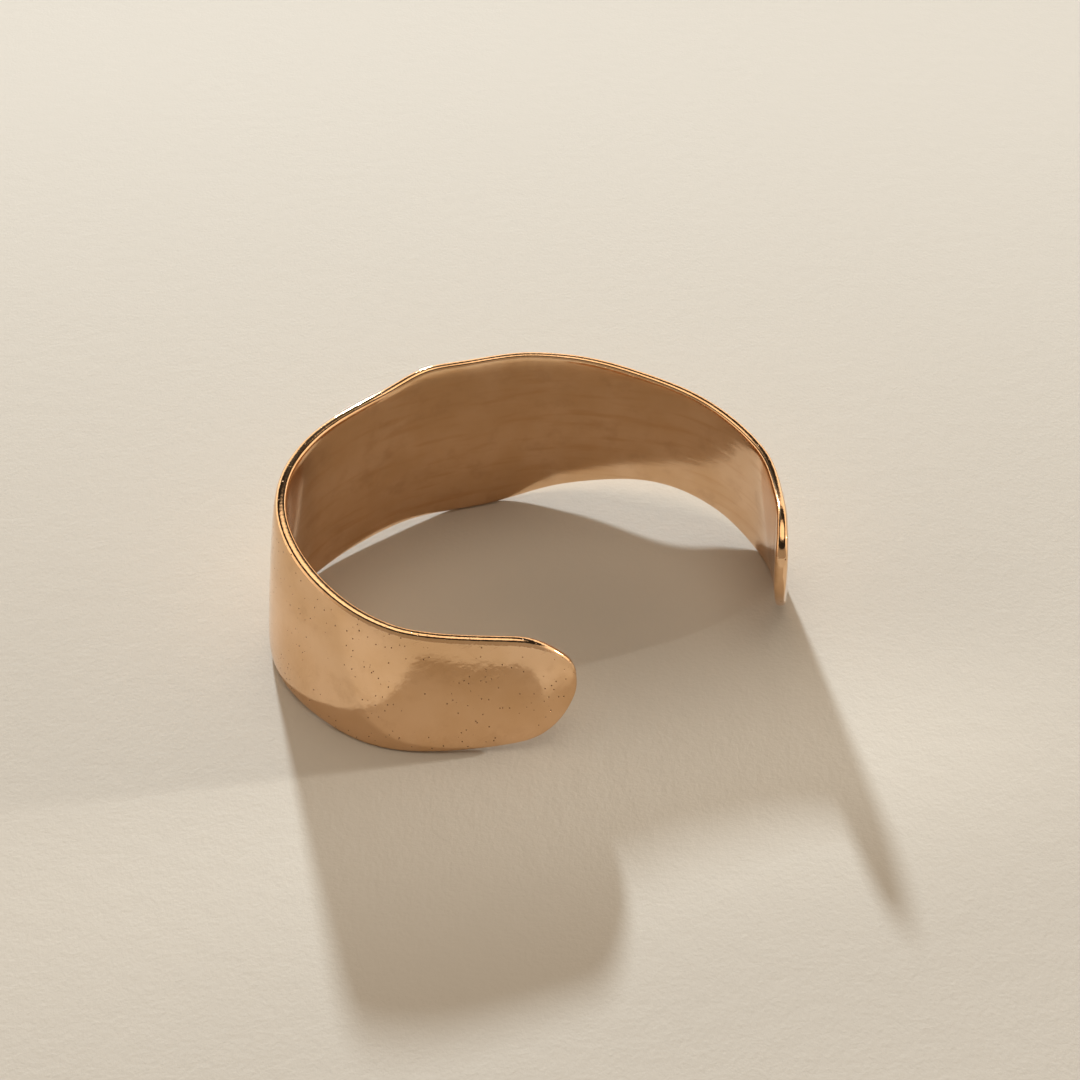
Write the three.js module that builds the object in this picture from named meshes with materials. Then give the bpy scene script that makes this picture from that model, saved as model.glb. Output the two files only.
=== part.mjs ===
// An open cuff bracelet: one bent band of bronze, lying on one edge with its wrist axis upright.
// Millimetres, +Z up. The band runs from the front tip, round the closed side, to the far tip.
import * as THREE from "three";

// What the band is made from: sections along its length, in the order that they are bent.
//   x, y    middle of the wall in plan, at half its height
//   top     height of the upper edge above the table
//   bottom  height of the lower edge; just under 0 where it stands on the table and is worn flat
//   flare   how far the lower edge stands out beyond the upper one
//   wall    thickness
const sections = [
  { x: 3.8, y: -19.6, top: 12.4, bottom: 3.2, flare: 2.0, wall: 1.5 },
  { x: -2.0, y: -21.5, top: 13.7, bottom: 1.0, flare: 2.6, wall: 1.5 },
  { x: -15.8, y: -21.7, top: 15.4, bottom: -0.1, flare: 2.7, wall: 1.6 },
  { x: -25.2, y: -15.7, top: 17.8, bottom: 0.2, flare: 2.6, wall: 1.8 },
  { x: -29.8, y: -6.1, top: 20.6, bottom: 0.2, flare: 2.4, wall: 2.0 },
  { x: -27.4, y: 5.2, top: 21.9, bottom: 0.2, flare: 2.2, wall: 2.0 },
  { x: -17.5, y: 15.5, top: 22.3, bottom: 0.5, flare: 2.0, wall: 2.0 },
  { x: -6.5, y: 20.3, top: 23.3, bottom: -0.1, flare: 2.0, wall: 1.9 },
  { x: 3.2, y: 22.1, top: 22.6, bottom: 1.7, flare: 2.1, wall: 1.8 },
  { x: 13.7, y: 20.2, top: 20.6, bottom: 3.4, flare: 2.2, wall: 1.8 },
  { x: 21.4, y: 16.3, top: 18.9, bottom: 2.0, flare: 2.3, wall: 1.8 },
  { x: 26.8, y: 9.1, top: 17.4, bottom: -0.1, flare: 2.2, wall: 1.8 },
  { x: 27.7, y: 0.6, top: 16.8, bottom: 1.2, flare: 1.4, wall: 1.7 },
  { x: 26.7, y: -7.8, top: 17.9, bottom: 6.1, flare: 0.4, wall: 1.6 },
];

// Where the hammer left the upper edge uneven: `at` counts from section 0, `rise` is how far the
// edge stands up there (down, if it is negative), `reach` is how far that spreads, in sections.
const hammerMarks = [
  { at: 4.9, rise: -0.2, reach: 0.35 },
  { at: 6.3, rise: 0.85, reach: 0.35 },
  { at: 7.9, rise: -0.15, reach: 0.4 },
];

const tipLength = 7.0; // over this length each end rounds off into a paddle
const faceCrown = 0.05; // how far the middle of each face stands proud of its edges
const wallSquareness = 0.75; // 1 gives the wall an oval section; less gives it flatter faces
const edgeGather = 2.6; // how closely a ring's points gather at the two edges of the band
const tipFullness = 2.3; // 2 makes the rounding an ellipse; more fills out its corners
const ringsOnTip = 14;
const ringsBetween = 112;
const pointsRound = 28;

const planCurve = new THREE.CatmullRomCurve3(
  sections.map((s) => new THREE.Vector3(s.x, s.y, s.wall)),
  false,
  "catmullrom",
  0.5,
);
planCurve.arcLengthDivisions = 1000;
const edgeCurve = new THREE.CatmullRomCurve3(
  sections.map((s) => new THREE.Vector3(s.top, s.bottom, s.flare)),
  false,
  "catmullrom",
  0.5,
);

// A quarter of a full oval: 0 at the very end of the band, 1 once it is `length` away from it.
function roundedEnd(distance, length) {
  const left = 1 - Math.min(distance / length, 1);
  return Math.pow(Math.max(0, 1 - Math.pow(left, tipFullness)), 1 / tipFullness);
}

// How far each ring lies from the front tip. On the two rounded ends the rings sit at even turns
// of the quarter ellipse, so the outline stays smooth up to the tip; between them they are even.
function ringDistances(length) {
  const distances = [];
  for (let i = 1; i < ringsOnTip; i++) {
    distances.push(tipLength * (1 - Math.cos((Math.PI / 2) * (i / ringsOnTip))));
  }
  for (let i = 0; i <= ringsBetween; i++) {
    distances.push(tipLength + (length - 2 * tipLength) * (i / ringsBetween));
  }
  for (let i = ringsOnTip - 1; i > 0; i--) distances.push(length - distances[i - 1]);
  return distances;
}

function hammeredRise(station) {
  let rise = 0;
  for (const mark of hammerMarks) {
    const off = (station - mark.at) / mark.reach;
    rise += mark.rise * Math.exp(-off * off);
  }
  return rise;
}

// One closed ring of points round the band: `parameter` is where it is on the two curves, from 0
// to 1, and `toEnd` is how far it is from the nearer tip.
function sectionRing(parameter, toEnd) {
  const plan = planCurve.getPoint(parameter);
  const edge = edgeCurve.getPoint(parameter);
  const along = planCurve.getTangent(parameter);
  const outward = new THREE.Vector2(-along.y, along.x).normalize();

  const top = edge.x + hammeredRise(parameter * (sections.length - 1));
  const bottom = edge.y;
  const middle = (top + bottom) / 2;
  const half = ((top - bottom) / 2) * roundedEnd(toEnd, tipLength);
  const flare = edge.z * (half / ((top - bottom) / 2));
  const halfWall = (plan.z / 2) * roundedEnd(toEnd, plan.z / 2);
  const flat = Math.max(half - halfWall, 0);

  const ring = [];
  for (let i = 0; i < pointsRound; i++) {
    // Down the outer face and up the inner one, with the points gathered at the two round edges.
    const turn = (2 * Math.PI * i) / pointsRound;
    const up = Math.cos(turn);
    const out = Math.sin(turn);
    const round = Math.min(halfWall, half);
    const height = up * round + (flat * Math.tanh(edgeGather * up)) / Math.tanh(edgeGather);
    const level = half > 0 ? height / half : 0;
    const crown = faceCrown * (1 - level * level) * roundedEnd(toEnd, tipLength);
    const roundedOut = Math.sign(out) * Math.pow(Math.abs(out), wallSquareness);
    const off = roundedOut * (halfWall + crown) - (flare / 2) * level;
    ring.push(
      new THREE.Vector3(
        plan.x + outward.x * off,
        plan.y + outward.y * off,
        Math.max(middle + height, 0),
      ),
    );
  }
  return ring;
}

// The band as one closed skin: rings joined by quads, with a point closing each tip.
function bandGeometry() {
  const length = planCurve.getLength();
  const distances = ringDistances(length);

  const positions = [];
  const triangles = [];
  for (const distance of distances) {
    const parameter = planCurve.getUtoTmapping(distance / length);
    const toEnd = Math.min(distance, length - distance);
    for (const point of sectionRing(parameter, toEnd)) {
      positions.push(point.x, point.y, point.z);
    }
  }
  const rings = distances.length;
  for (let i = 0; i < rings - 1; i++) {
    for (let j = 0; j < pointsRound; j++) {
      const a = i * pointsRound + j;
      const b = i * pointsRound + ((j + 1) % pointsRound);
      const c = a + pointsRound;
      const d = b + pointsRound;
      triangles.push(a, c, b, b, c, d);
    }
  }

  const tips = [sectionRing(0, 0)[0], sectionRing(1, 0)[0]];
  const firstTip = rings * pointsRound;
  for (const tip of tips) positions.push(tip.x, tip.y, tip.z);
  for (let j = 0; j < pointsRound; j++) {
    const next = (j + 1) % pointsRound;
    const last = (rings - 1) * pointsRound;
    triangles.push(firstTip, j, next);
    triangles.push(firstTip + 1, last + next, last + j);
  }

  const geometry = new THREE.BufferGeometry();
  geometry.setAttribute("position", new THREE.Float32BufferAttribute(positions, 3));
  geometry.setIndex(triangles);
  geometry.computeVertexNormals();
  return geometry;
}

const bronze = new THREE.MeshStandardMaterial({
  name: "bronze",
  color: 0xb07a4e,
  roughness: 0.22,
  metalness: 1.0,
});

function cuffBand() {
  const geometry = bandGeometry();
  geometry.computeBoundingBox();
  const centre = geometry.boundingBox.getCenter(new THREE.Vector3());
  const mesh = new THREE.Mesh(geometry, bronze);
  mesh.name = "cuff_band";
  mesh.position.set(-centre.x, -centre.y, 0); // the frame's origin is under the band's middle
  return mesh;
}

const cuff = new THREE.Group();
cuff.add(cuffBand());
export default cuff;
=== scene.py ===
# %% [markdown]
# # An open bronze cuff
# The cuff is one bent band of bronze, so there is one piece to finish and no joints. The packed
# solid has the right shape but is faceted, and polished metal shows every facet, so the work here
# is a finer skin, a metal with its maker's marks in it, and light that gives the metal something
# to reflect.

# %% Load the frame
import math

import bpy
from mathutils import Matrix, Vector


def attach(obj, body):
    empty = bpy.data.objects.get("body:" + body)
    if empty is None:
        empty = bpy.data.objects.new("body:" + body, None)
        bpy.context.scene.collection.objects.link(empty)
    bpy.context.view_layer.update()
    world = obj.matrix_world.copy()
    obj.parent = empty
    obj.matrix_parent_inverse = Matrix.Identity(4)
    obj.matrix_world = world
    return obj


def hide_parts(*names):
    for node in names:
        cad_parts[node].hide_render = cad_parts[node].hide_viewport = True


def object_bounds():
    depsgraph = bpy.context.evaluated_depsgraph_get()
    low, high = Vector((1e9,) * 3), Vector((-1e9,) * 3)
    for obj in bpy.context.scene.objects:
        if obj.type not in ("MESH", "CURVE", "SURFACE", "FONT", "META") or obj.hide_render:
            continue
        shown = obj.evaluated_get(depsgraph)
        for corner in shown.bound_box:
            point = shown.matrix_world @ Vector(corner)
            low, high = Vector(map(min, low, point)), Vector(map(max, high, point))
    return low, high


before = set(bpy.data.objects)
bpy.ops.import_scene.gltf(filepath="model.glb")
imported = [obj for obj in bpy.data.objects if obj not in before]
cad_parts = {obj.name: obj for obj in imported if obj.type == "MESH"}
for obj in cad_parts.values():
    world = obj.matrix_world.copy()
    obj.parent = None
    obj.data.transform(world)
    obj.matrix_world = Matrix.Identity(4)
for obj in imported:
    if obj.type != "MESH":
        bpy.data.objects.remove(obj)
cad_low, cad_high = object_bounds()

MM = 0.001
band_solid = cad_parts["cuff_band"]
print("solid", [round(v / MM, 1) for v in cad_high - cad_low], "mm")

# %% [markdown]
# The camera looks down on the cuff from the side of its front arm. It stands fairly close, so the
# near arm looks clearly larger than the back of the band. The aim is a point on the table inside
# the band, given from the middle of the solid's box.

# %% Camera
VIEW_ELEVATION = math.radians(38.65)
VIEW_DISTANCE = 227.5 * MM
AIM = Vector(((cad_low.x + cad_high.x) / 2 + 1.1 * MM, (cad_low.y + cad_high.y) / 2 + 13.5 * MM, 0))
SENSOR = 36.0
LENS = 60.7

towards_camera = Vector((0, -math.cos(VIEW_ELEVATION), math.sin(VIEW_ELEVATION)))
camera_data = bpy.data.cameras.new("camera")
camera_data.sensor_width = SENSOR
camera_data.lens = LENS
camera_data.clip_start = 10 * MM
camera_data.clip_end = 10
camera = bpy.data.objects.new("camera", camera_data)
camera.location = AIM + towards_camera * VIEW_DISTANCE
camera.rotation_euler = towards_camera.to_track_quat("Z", "Y").to_euler()
bpy.context.scene.collection.objects.link(camera)
bpy.context.scene.camera = camera
print("camera at", [round(v / MM) for v in camera.location], "mm")

# %% [markdown]
# Every step below acts on what is selected, so one helper clears the selection and picks a single
# object. The solid arrives as loose triangles. A copy of it is welded, its triangles are joined
# back into the quads of the band's rings, and a subdivision surface rounds those into a smooth
# skin. That keeps the band's own outline, which a new primitive would only imitate.

# %% Pick one object
def pick(thing):
    if bpy.context.object and bpy.context.object.mode != "OBJECT":
        bpy.ops.object.mode_set(mode="OBJECT")
    bpy.ops.object.select_all(action="DESELECT")
    thing.select_set(True)
    bpy.context.view_layer.objects.active = thing


# %% A finer skin of the band
WELD = 0.002 * MM
SKIN_LEVELS = 2

band = bpy.data.objects.new("cuff_skin", band_solid.data.copy())
bpy.context.scene.collection.objects.link(band)
band.data.materials.clear()
pick(band)
bpy.ops.object.mode_set(mode="EDIT")
bpy.ops.mesh.select_all(action="SELECT")
bpy.ops.mesh.remove_doubles(threshold=WELD)
bpy.ops.mesh.tris_convert_to_quads(face_threshold=math.radians(50), shape_threshold=math.radians(60))
bpy.ops.object.mode_set(mode="OBJECT")

rounding = band.modifiers.new("rounding", "SUBSURF")
rounding.levels = SKIN_LEVELS
rounding.render_levels = SKIN_LEVELS
bpy.ops.object.modifier_apply(modifier=rounding.name)
bpy.ops.object.shade_smooth()
print("skin", len(band.data.polygons), "faces")

# %% [markdown]
# Hammered and hand-polished metal is never quite flat: each face rolls in shallow, broad hollows,
# which bend what it reflects. The hollows are true shape, so they are pressed in by a Displace
# modifier with a soft cloud texture. Its mid level of 1 only lets it press inwards, so the cuff
# never grows.

# %% Hollows from the hammer
def press_hollows(piece, name, width, depth):
    clouds = bpy.data.textures.new(name, "CLOUDS")
    clouds.noise_scale = width
    clouds.noise_depth = 0
    clouds.noise_basis = "ORIGINAL_PERLIN"
    pressing = piece.modifiers.new(name, "DISPLACE")
    pressing.texture = clouds
    pressing.texture_coords = "LOCAL"
    pressing.mid_level = 1.0
    pressing.strength = depth
    pick(piece)
    bpy.ops.object.modifier_apply(modifier=pressing.name)
    print(name, "up to", round(depth / MM, 2), "mm deep")


press_hollows(band, "broad_hollows", 9 * MM, 0.12 * MM)
press_hollows(band, "small_hollows", 3 * MM, 0.03 * MM)

# %% [markdown]
# Shader maths reads best as ordinary expressions. A small class wraps a socket and overloads the
# operators, so that `1 - mask` adds the Math node that does it. A second class holds a node tree,
# and one method of it adds any other node from its type, settings and inputs.

# %% Sockets as values
class Value:
    def __init__(self, tree, socket):
        self.tree = tree
        self.socket = socket

    def _math(self, operation, left, right):
        node = self.tree.nodes.new("ShaderNodeMath")
        node.operation = operation
        for place, term in enumerate((left, right)):
            if isinstance(term, Value):
                self.tree.links.new(term.socket, node.inputs[place])
            else:
                node.inputs[place].default_value = term
        return Value(self.tree, node.outputs[0])

    def __add__(self, other):
        return self._math("ADD", self, other)

    def __radd__(self, other):
        return self._math("ADD", other, self)

    def __sub__(self, other):
        return self._math("SUBTRACT", self, other)

    def __rsub__(self, other):
        return self._math("SUBTRACT", other, self)

    def __mul__(self, other):
        return self._math("MULTIPLY", self, other)

    def __rmul__(self, other):
        return self._math("MULTIPLY", other, self)


# %% A node tree that is written in expressions
class Recipe:
    def __init__(self, tree):
        self.tree = tree

    def node(self, kind, settings=None, inputs=None, output=0):
        made = self.tree.nodes.new(kind)
        for key, value in (settings or {}).items():
            setattr(made, key, value)
        for key, value in (inputs or {}).items():
            if isinstance(value, Value):
                self.tree.links.new(value.socket, made.inputs[key])
            else:
                made.inputs[key].default_value = value
        return Value(self.tree, made.outputs[output])

    def axes(self, vector):
        whole = self.node("ShaderNodeSeparateXYZ", inputs={0: vector})
        return [Value(self.tree, socket) for socket in whole.socket.node.outputs]

    def rise(self, value, low, high):
        """0 below low, 1 above high, and a soft step between."""
        return self.node(
            "ShaderNodeMapRange",
            {"interpolation_type": "SMOOTHSTEP"},
            {"Value": value, "From Min": low, "From Max": high},
        )

    def noise(self, vector, size, detail=2.0, roughness=0.5, seed=0.0):
        """Clouds whose largest lumps are about `size` metres across."""
        return self.node(
            "ShaderNodeTexNoise",
            {"noise_dimensions": "4D"},
            {"Vector": vector, "W": seed, "Scale": 1 / size, "Detail": detail, "Roughness": roughness},
        )

    def mix(self, factor, first, second):
        return self.node(
            "ShaderNodeMix", {"data_type": "RGBA"}, {"Factor": factor, "A": first, "B": second}, output=2
        )


# %% A new material
class Finish(Recipe):
    def __init__(self, name):
        self.material = bpy.data.materials.new(name)
        self.material.use_nodes = True
        super().__init__(self.material.node_tree)
        self.shader = self.tree.nodes["Principled BSDF"]

    def feed(self, socket, value):
        if isinstance(value, Value):
            self.tree.links.new(value.socket, self.shader.inputs[socket])
        else:
            self.shader.inputs[socket].default_value = value

    def place(self):
        return self.node("ShaderNodeTexCoord", output=3)


# %% [markdown]
# Where a mark sits on the band decides what it looks like, so the finish first works out a few
# plain values: the way along the band, which is the angle round the wrist times the mean radius,
# which side is the outer face, and which part is the rim. The side comes from the surface normal:
# on the outer face it points away from the wrist axis.

# %% Where on the band
MEAN_RADIUS = 25 * MM


def band_places(finish):
    place = finish.place()
    x, y, z = finish.axes(place)
    angle = finish.node("ShaderNodeMath", {"operation": "ARCTAN2"}, {0: y, 1: x})
    along = angle * MEAN_RADIUS
    nx, ny, nz = finish.axes(finish.node("ShaderNodeNewGeometry", output=1))
    outward = (nx * x + ny * y) * (1 / MEAN_RADIUS)
    outer = finish.rise(outward, -0.15, 0.15)
    rim = finish.rise(nz, 0.45, 0.8)
    return place, along, z, outer, rim


# %% [markdown]
# Polishing leaves marks in the direction that the tool went. Inside, where only a small drum or a
# folded cloth reaches, they are long soft streaks round the band. Outside they are short hairlines
# that cross. Both are the same recipe: clouds that are stretched one way, on coordinates that lie
# in the face. The heights are in millimetres and only a few thousandths of one, because a mirror
# shows even that.

# %% Streaks and hairlines
def streaks_in(finish, along, z, length, width, seed):
    lying = finish.node("ShaderNodeCombineXYZ", inputs={0: along, 1: z * (length / width)})
    return finish.noise(lying, length, 3.0, 0.55, seed)


HAIRLINE_NARROWING = 1 / 18


def hairlines_in(finish, along, z, turn, seed):
    flat = finish.node("ShaderNodeCombineXYZ", inputs={0: along, 1: z})
    turned = finish.node(
        "ShaderNodeMapping",
        {"vector_type": "TEXTURE"},
        {"Vector": flat, "Rotation": (0, 0, math.radians(turn)), "Scale": (1, HAIRLINE_NARROWING, 1)},
    )
    lines = finish.noise(turned, 3.2 * MM, 2.0, 0.6, seed)
    return finish.rise(lines, 0.62, 0.72)


# %% [markdown]
# Cast bronze keeps a few pinholes however long it is polished. They sit in swarms, so one pattern
# of round cells gives the holes and a slow cloud says where the swarms are.

# %% Pinholes
def pinholes_in(finish, place, spacing, radius, swarm_low, seed):
    cells = finish.node("ShaderNodeTexVoronoi", {"feature": "F1"}, {"Vector": place, "Scale": 1 / spacing})
    cell_colour = finish.node(
        "ShaderNodeTexVoronoi", {"feature": "F1"}, {"Vector": place, "Scale": 1 / spacing}, output=1
    )
    chance = finish.axes(cell_colour)[0]
    swarm = finish.noise(place, 4.5 * MM, 2.0, 0.5, seed)
    kept = finish.rise(swarm + chance * 0.25, swarm_low, swarm_low + 0.06)
    return (1 - finish.rise(cells, radius * 0.4 / spacing, radius / spacing)) * kept


# %% [markdown]
# The bronze puts those together. Its colour drifts between a pinker and a browner gold, it is a
# little duller where the polish did not reach, and small scale waves, like the skin of an orange,
# keep the mirror image from being perfectly clean. The rim is the roughest part, because it was
# filed and then only softened.

# %% Bronze
def bronze_finish():
    finish = Finish("bronze")
    place, along, z, outer, rim = band_places(finish)
    inner = 1 - outer

    broad_streaks = streaks_in(finish, along, z, 9 * MM, 1.1 * MM, 1.0)
    fine_streaks = streaks_in(finish, along, z, 5 * MM, 0.35 * MM, 2.0)
    hairlines = hairlines_in(finish, along, z, 24, 3.0) + hairlines_in(finish, along, z, -38, 4.0)
    peel = finish.noise(place, 0.8 * MM, 2.0, 0.5, 5.0)
    grain = finish.noise(place, 0.3 * MM, 2.0, 0.6, 6.0)
    drift = finish.noise(place, 8 * MM, 3.0, 0.55, 7.0)
    stains = finish.rise(finish.noise(place, 3.5 * MM, 4.0, 0.6, 8.0), 0.5, 0.72)
    pits = pinholes_in(finish, place, 0.62 * MM, 0.10 * MM, 0.575, 9.0) * outer

    streaks = (broad_streaks * 0.030 + fine_streaks * 0.006) * inner
    polish = (peel * 0.018 - hairlines * 0.0025) * outer
    height = streaks + polish + grain * (0.003 + rim * 0.016) - pits * 0.05
    bump = finish.node("ShaderNodeBump", inputs={"Height": height, "Strength": 1.0, "Distance": MM})

    tone = finish.mix(finish.rise(drift, 0.35, 0.65), (0.79, 0.505, 0.28, 1), (0.87, 0.58, 0.355, 1))
    streaked = finish.mix(finish.rise(broad_streaks, 0.5, 0.7) * inner * 0.5, tone, (0.70, 0.41, 0.20, 1))
    stained = finish.mix(stains * 0.45, streaked, (0.62, 0.38, 0.20, 1))
    # The pinholes are coloured nearly black: painted shade inside each hole, which the shallow bump alone
    # does not make.
    pits_painted_shade = finish.mix(pits * 0.95, stained, (0.09, 0.045, 0.02, 1))

    finish.feed("Base Color", pits_painted_shade)
    finish.feed("Metallic", 1.0)
    dull = broad_streaks * inner * 0.10 + stains * 0.04 + hairlines * outer * 0.03 + pits * 0.4
    finish.feed("Roughness", 0.065 + inner * 0.03 + dull)
    finish.feed("Normal", bump)
    return finish.material


band.data.materials.append(bronze_finish())
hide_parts("cuff_band")
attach(band, "root")
print("bronze on", band.name)

# %% [markdown]
# The table is a sheet of thick, pale, faintly toothed paper. It is not part of the cuff, but half
# of what the metal shows is this sheet, so it is large and has a fine tooth of its own.

# %% Paper floor
def paper_finish():
    finish = Finish("paper")
    place = finish.place()
    tooth = finish.noise(place, 0.55 * MM, 3.0, 0.6, 11.0)
    ripple = finish.noise(place, 2.5 * MM, 2.0, 0.5, 12.0)
    clouding = finish.noise(place, 45 * MM, 2.0, 0.5, 13.0)
    x, y, z = finish.axes(place)
    # The paper turns paler towards the back. This is painted light, the fall-off from a bright source
    # behind, not a change in the paper itself.
    painted_light_further_back = finish.rise(y, -60 * MM, 170 * MM)
    near_tone = finish.mix(clouding, (0.56, 0.525, 0.475, 1), (0.60, 0.565, 0.515, 1))
    tone = finish.mix(painted_light_further_back, near_tone, (0.70, 0.68, 0.64, 1))
    height = tooth * 0.045 + ripple * 0.05
    bump = finish.node("ShaderNodeBump", inputs={"Height": height, "Strength": 1.0, "Distance": MM})
    finish.feed("Base Color", tone)
    finish.feed("Roughness", 0.9)
    finish.feed("Normal", bump)
    return finish.material


FLOOR_SIZE = 3.0
bpy.ops.object.select_all(action="DESELECT")
bpy.ops.mesh.primitive_plane_add(size=FLOOR_SIZE, location=(0, 0, 0))
floor = bpy.context.object
floor.name = "paper_floor"
floor.data.materials.append(paper_finish())
print("floor", FLOOR_SIZE, "m")

# %% [markdown]
# Low sun from behind, a little to the left, makes the long shadow that the front arm mirrors. A
# small panel far to the right sends a narrow, soft band of light through the gap.

# %% Lamps
def towards(azimuth, elevation):
    """Where a lamp stands: azimuth 0 is at the back, 90 at the right."""
    a = math.radians(azimuth)
    e = math.radians(elevation)
    return Vector((math.sin(a) * math.cos(e), math.cos(a) * math.cos(e), math.sin(e)))


def hang_lamp(name, data, source, colour):
    data.color = colour
    lamp = bpy.data.objects.new(name, data)
    lamp.rotation_euler = source.to_track_quat("Z", "Y").to_euler()
    bpy.context.scene.collection.objects.link(lamp)
    print(name, "from", [round(v, 2) for v in source])
    return lamp


KEY_STRENGTH = 4.2
KEY_WIDTH = math.radians(3.6)
key_data = bpy.data.lights.new("key_from_behind", "SUN")
key_data.energy = KEY_STRENGTH
key_data.angle = KEY_WIDTH
hang_lamp("key_from_behind", key_data, towards(-11.9, 20.7), (0.89, 0.97, 1.0))

SIDE_DISTANCE = 400 * MM
SIDE_AIM = Vector((4, -30, 0)) * MM
side_source = towards(78, 14)
side_data = bpy.data.lights.new("side_through_gap", "AREA")
side_data.shape = "RECTANGLE"
side_data.size = 26 * MM
side_data.size_y = 11 * MM
side_data.spread = math.radians(6)
side_data.energy = 0.0024
side = hang_lamp("side_through_gap", side_data, side_source, (1.0, 0.97, 0.88))
side.location = SIDE_AIM + side_source * SIDE_DISTANCE

# %% [markdown]
# Polished metal draws the room as lines along its rounded rim. So the room is not an even grey: a
# warm, bright wall runs all round up to about thirty degrees, dimmer behind the viewer, a wide soft
# box hangs overhead, and the ring between them is nearly dark.

# %% Room
world = bpy.data.worlds.new("room")
world.use_nodes = True
bpy.context.scene.world = world
room = Recipe(world.node_tree)
side_to_side, depth, height = room.axes(room.node("ShaderNodeTexCoord", output=0))
wall = 1 - room.rise(height, 0.46, 0.56)
overhead = room.rise(height, 0.84, 0.95)
behind_cuff = room.rise(depth, -0.75, 0.1)
brightness = wall * (0.35 + behind_cuff * 1.15) + overhead * 1.7 + 0.03
sky = world.node_tree.nodes["Background"]
sky.inputs["Color"].default_value = (1.0, 0.83, 0.64, 1)
world.node_tree.links.new(brightness.socket, sky.inputs["Strength"])
print("room lit")

# %% [markdown]
# Plain sRGB keeps the pale paper and warm metal as they are mixed here.

# %% Finish
bpy.context.scene.view_settings.view_transform = "Standard"
